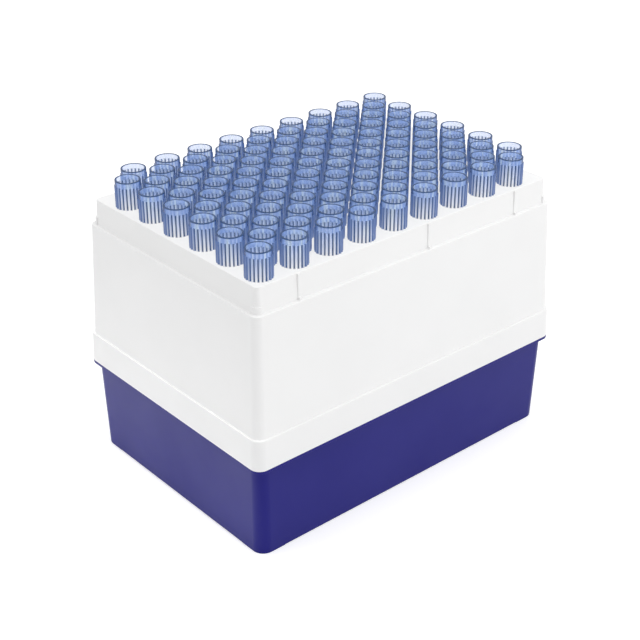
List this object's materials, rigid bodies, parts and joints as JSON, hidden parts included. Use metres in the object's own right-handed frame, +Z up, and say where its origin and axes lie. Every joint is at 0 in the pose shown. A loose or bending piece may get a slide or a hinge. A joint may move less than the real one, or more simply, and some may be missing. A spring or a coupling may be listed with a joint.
{
  "type": "pipette tip box",
  "caption": "Box of pipette tips: an open base tub, a stepped rack standing on it, and hollow tapered tips hanging by their collars in staggered rows in the rack's deck.",
  "frame": {"origin": "centre of the box's footprint, on the table", "axes": "X along the long side, Y along the short side, Z up; the long side with the first tip at its left end faces -Y"},
  "size_m": [0.1274, 0.0892, 0.098],
  "materials": {
    "indigo_plastic": "satin",
    "white_plastic": "satin",
    "blue_clear_plastic": "gloss, tinted and see-through"
  },
  "bodies": {
    "root": {"base_tub": "indigo_plastic", "rack": "white_plastic", "tips_column_01": "blue_clear_plastic", "tips_column_02": "blue_clear_plastic", "tips_column_03": "blue_clear_plastic", "tips_column_04": "blue_clear_plastic", "tips_column_05": "blue_clear_plastic", "tips_column_06": "blue_clear_plastic", "tips_column_07": "blue_clear_plastic", "tips_column_08": "blue_clear_plastic", "tips_column_09": "blue_clear_plastic", "tips_column_10": "blue_clear_plastic", "tips_column_11": "blue_clear_plastic", "tips_column_12": "blue_clear_plastic", "tips_column_13": "blue_clear_plastic", "tips_column_14": "blue_clear_plastic", "tips_column_15": "blue_clear_plastic", "tips_column_16": "blue_clear_plastic", "tips_column_17": "blue_clear_plastic", "tips_column_18": "blue_clear_plastic"}
  },
  "joints": []
}
